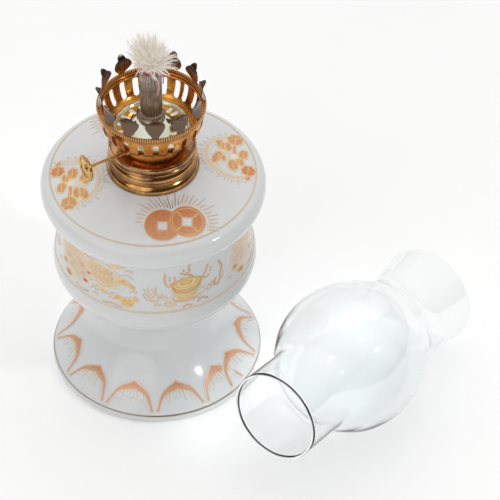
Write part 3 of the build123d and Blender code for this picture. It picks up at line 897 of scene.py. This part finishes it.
# landscape: soft ground, slanting hatch broken by slow waves, then flowers and lines
ground = mound(s, z, *landscape["ground"]) * np.clip((s + 50.5) / 5, 0, 1)
lay(sheet, ground * 0.72, "ground")
fine = hatching(s * 0.75 + z * 0.85 + 0.6 * np.sin(z * 0.8), 1.25, 0.16)
lay(sheet, fine * ground * 0.75, "groundHatch")
wave = np.sin(s * 0.8 + 1.4 * np.sin(z * 0.45)) * np.sin(z * 0.62 + 1.1 * np.sin(s * 0.4))
lay(sheet, soft(-wave, -0.45, 0.3) * ground * 0.6, "groundWave")
slope = landscape["bankSlope"] * (s - landscape["bank"][0][0])
bank = mound(s, z + slope, *landscape["bank"])
lay(sheet, bank * 0.75, "bank")
hatch = hatching(s * 0.55 + z * 0.95 + 0.7 * np.sin(s * 0.8), 1.5, 0.2)
lay(sheet, hatch * bank, "bankHatch")
cross = hatching(s * 1.1 - z * 0.35 + 0.6 * np.sin(z * 0.9), 2.1, 0.16)
lay(sheet, cross * bank * 0.85, "bankCross")
for centre, half, lean, tint in landscape["flowers"]:
    leaf(sheet, s, z, centre, half, lean, tint, "brightGold", 0.34)
for points, width, tint in landscape["lines"]:
    stroke(sheet, s, z, points, width, tint)

# small curls of gold strewn over the landscape and, fewer, round the bowl
curls = {"count": 46, "share": 0.72, "width": 0.42,
         "shape": ((-1, 0), (-0.4, 0.7), (0.2, 0), (0.8, 0.5)),
         "paints": ("brightGold", "curlAmber", "curlSienna")}
for u, v, size in rng.random((curls["count"], 3)):
    if u < curls["share"]:
        place, height = -48 + 42 * u / curls["share"], 67 + 19 * v
    else:
        place, height = -2 + 32 * (u - curls["share"]) / (1 - curls["share"]), 67 + 6 * v
    reach = 0.9 + 1.1 * size
    curl = [(place + reach * right, height + reach * up) for right, up in curls["shape"]]
    stroke(sheet, s, z, curl, curls["width"], curls["paints"][int(size * 3)], 0.9)

# bowl: body, rings round it and mouth, flames and clouds beside it
bowl = {
    # centre, half sizes, paint, rim, rim width
    "mouth": (((14.5, 77.5), (6.3, 3.4), "lip", "bowlFoot", 0.6),
              ((14.5, 77.9), (4.6, 2.2), "oil", "oilRim", 0.45),
              ((14.3, 78.2), (2.4, 1.1), "flame", "flameRim", 0.4)),
    # points, width, paint
    "lines": (
        (((8.3, 77.5), (10.2, 74.2), (14.5, 72.6), (18.8, 73.8), (21, 77.2)), 1.1, "bowlBelly"),
        (((-3, 76.5), (-2, 73.5), (-0.5, 71.6), (1, 73.5), (0, 76.5)), 0.5, "amber"),
        (((1.6, 77.5), (1.8, 74), (3.2, 71.4), (4.4, 73.6)), 0.5, "amber"),
        (((-1.6, 77.4), (-1.2, 74.4), (0.4, 72.4)), 0.45, "straw"),
        (((-3.6, 73.6), (-2.4, 71.2), (-0.4, 70.4), (2.4, 70.2)), 0.5, "ochre"),
        (((5, 68.4), (6.8, 69.2), (8.4, 67.8), (10, 68.8)), 0.7, "wheat"),
        (((5.6, 67.2), (7.8, 66.8), (9.8, 67.4)), 0.5, "straw"),
        (((5.6, 85), (5.4, 81), (6.4, 78), (8.2, 77.6), (9.3, 79.4), (9.5, 82.4)), 0.85, "branch"),
        (((7.2, 83), (7.4, 80.4)), 0.6, "branch"),
        (((12.2, 84.2), (13.8, 83), (15.4, 82.4), (17.2, 81)), 0.85, "darkBranch"),
        (((16.2, 88.6), (15.4, 86.6), (15.8, 84.6), (14, 83.2)), 0.75, "darkBranch"),
        (((13, 86), (13.4, 84.6)), 0.6, "darkBranch"),
        (((24, 84.4), (23.2, 81.4), (22, 78.6), (22.8, 77.4), (24.8, 78.2)), 0.9, "branch"),
        (((25.6, 82), (25.2, 80)), 0.6, "branch"),
        (((29.6, 83), (31.2, 79.4), (30.6, 75.6), (30, 72.2), (28.4, 70.6), (27.2, 72),
          (28, 73.8)), 0.95, "darkBranch"),
        (((24.2, 72.8), (25.6, 71.4), (26.8, 72.4), (25.8, 73.6)), 0.6, "branch"),
        (((32, 75.4), (31.6, 72.8)), 0.55, "branch"),
        (((12.6, 65.8), (14.4, 66.5), (16.2, 65.7)), 0.6, "rose"),
        (((19, 66.6), (21, 67.6), (23.2, 66.5)), 0.7, "rose"),
        (((8.6, 70.6), (10, 69.2), (12.4, 68.6), (15, 68.4), (18, 68.8), (20.4, 70.4)), 0.6,
         "bowlFoot")),
}
side = soft(np.abs(s - 14.6), 6.6 - 0.055 * (77 - z) ** 2, 0.5)
body = side * soft(np.abs(z - 72.6), 4.2, 0.5)
lay(sheet, body * 0.8, "bowl")
lay(sheet, hatching(z + 0.0385 * (s - 14.5) ** 2, 1.5, 0.2) * body, "bowlRing")
for centre, half, tint, rim, rimWidth in bowl["mouth"]:
    leaf(sheet, s, z, centre, half, 0, tint, rim, rimWidth)
for points, width, tint in bowl["lines"]:
    stroke(sheet, s, z, points, width, tint)
sheet["paint"] *= np.clip(np.minimum(z - 65.0, 89.8 - z) / 0.5, 0, 1)
for number in range(gilding["bandMotifs"]):
    angle = s / gilding["bandRadius"] + number * 2 * np.pi / gilding["bandMotifs"]
    addSheet("bandPictures%d" % number, aroundGlass(z, angle, lift), sheet)
print("band gilding done")

# foot: two strips of six petals, each a rounded arch with strokes that fan out below it
petals = {
    "starts": (-105.8, 63.0), "pitch": 30.3,  # degrees from the front to each strip's first petal
    "radii": (31.0, 44.0), "halfAngle": 16.0, "step": 0.36,
    # radius of the arch, and its slope, at so many degrees either side of the tip
    "arch": ((0, 1.6, 3.5, 6, 8.5, 10.5, 12.2, 13.4, 14.2, 16),
             (32.7, 33.2, 33.7, 34.3, 35.1, 36.3, 38.2, 40.4, 42.6, 48)),
    "slope": ((0, 5, 9, 11, 13, 14.2), (0.4, 0.35, 0.7, 1.3, 2.6, 3.6)),
    "footAngle": 14.2, "featherPitch": 2.3,
}
radius = np.arange(*petals["radii"], gilding["cell"])[:, None]
degrees = np.arange(-petals["halfAngle"], petals["halfAngle"] + 0.1, petals["step"])[None, :]
below = radius - np.interp(np.abs(degrees), *petals["arch"])
distance = below / np.hypot(1, np.interp(np.abs(degrees), *petals["slope"]))
spread = np.abs(degrees) / petals["footAngle"]
sheet = newSheet((radius.size, degrees.size))
lean = (degrees - below * 0.35 * np.sign(degrees)) / petals["featherPitch"]
number = np.round(lean)
reach = 5.4 - 1.6 * spread + 0.9 * np.sin(number * 2.1)
feather = soft(np.abs(lean - number) * 1.5, 0.4, 0.22)
feather = feather * soft(np.abs(below - reach / 2), reach / 2, 0.4)
feather = feather * np.clip(1.15 - below / np.maximum(reach, 1), 0, 1)
lay(sheet, feather, "feather")
lay(sheet, feather * np.clip(1.2 - distance / 2.2, 0, 1), "petalGlow")
arch = soft(np.abs(distance - 1.2 + 0.55 * spread), 1.4 - 0.85 * spread, 0.5)
lay(sheet, arch * 0.92, "petal")
tip = soft(np.abs(distance - 0.75), 0.5, 0.4) * np.clip(1 - spread * 2.2, 0, 1)
lay(sheet, tip * 0.8, "deepOrange")
sheet["paint"] *= np.clip((43.2 - radius) / 0.8, 0, 1)
tips = np.concatenate([start + petals["pitch"] * np.arange(6) for start in petals["starts"]])
lifts = lift + 0.02 * (np.arange(12) % 2) + np.repeat([0, 0.035], 6)  # neighbours overlap
points = np.stack([overGlass(footProfile, radius + 0 * degrees, np.radians(degrees + tip), lift)
                   for tip, lift in zip(tips, lifts)])
addSheet("footPetals", points, sheet, copies=12)
print("foot gilding done")

# chimney: blown thinner than its rims, which are rounded by fire

chimney = {
    # distance from the fitter end, and outer radius, in mm
    "outline": [(0.5, 19.4), (12.0, 19.4), (21.0, 19.4), (27.6, 20.5), (34.6, 25.6), (42.4, 29.6),
                (52.0, 31.2), (60.3, 30.4), (68.1, 28.1), (75.5, 24.5), (82.6, 20.7), (89.8, 18.7),
                (98.2, 19.6), (111.1, 21.7)],
    # wall at distances from the fitter end
    "wall": ((0, 30, 52, 75, 112), (0.9, 1.2, 1.2, 1.2, 0.8)),
    "bulge": (52.0, 31.2, 44.0),    # place and radius of the bulge, and radius of its long arc
    "top": (111.1, 21.7),
    "end": (-30.65, -85.75),    # where the fitter end lies
    "ripple": 0.12,             # unevenness of the ground top edge
    "turns": 144,
}
outline = curve(chimney["outline"], 6)
along, outer = outline[:, 0], outline[:, 1]
wall = np.interp(along, *chimney["wall"])
halfCircle = np.linspace(0, np.pi, 7)[1:-1]
lowHalf, highHalf = wall[0] / 2, wall[-1] / 2
sectionAlong = np.concatenate([
    along, along[-1] + highHalf * np.sin(halfCircle),
    along[::-1], along[0] - lowHalf * np.sin(halfCircle)])[:, None]
sectionRadius = np.concatenate([
    outer, outer[-1] - highHalf * (1 - np.cos(halfCircle)),
    (outer - wall)[::-1], (outer[0] - lowHalf * (1 + np.cos(halfCircle)))[::-1]])[:, None]
around = np.linspace(0, 2 * np.pi, chimney["turns"], endpoint=False)[None, :]
nearTop = np.clip((sectionAlong - 106) / 5, 0, 1) ** 2
uneven = 0.6 * np.cos(5 * around + 1) + 0.4 * np.cos(13 * around)
sectionRadius = sectionRadius + chimney["ripple"] * nearTop * uneven

# it lies on the bulge and the top edge, so its axis leans as the line that touches both does
middle, bulgeRadius, arc = chimney["bulge"]
run, drop = chimney["top"][0] - middle, chimney["top"][1] - (bulgeRadius - arc)
turn = math.pi / 2 + math.asin(arc / math.hypot(run, drop)) - math.atan2(drop, run)
x, y = sectionRadius * np.cos(around), sectionRadius * np.sin(around)
upright = sectionAlong + 0 * around
points = np.stack([x * math.cos(turn) + upright * math.sin(turn), y,
                   -x * math.sin(turn) + upright * math.cos(turn)], -1)
points += np.array([*chimney["end"], 0.01 - points[..., 2].min()])
faces = gridFaces(len(sectionAlong), chimney["turns"], True, True)
blown = addPiece("blownChimney", points.reshape(-1, 3) * mm, faces, clearGlass,
                 "chimney")
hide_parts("chimney")
print("chimney done")
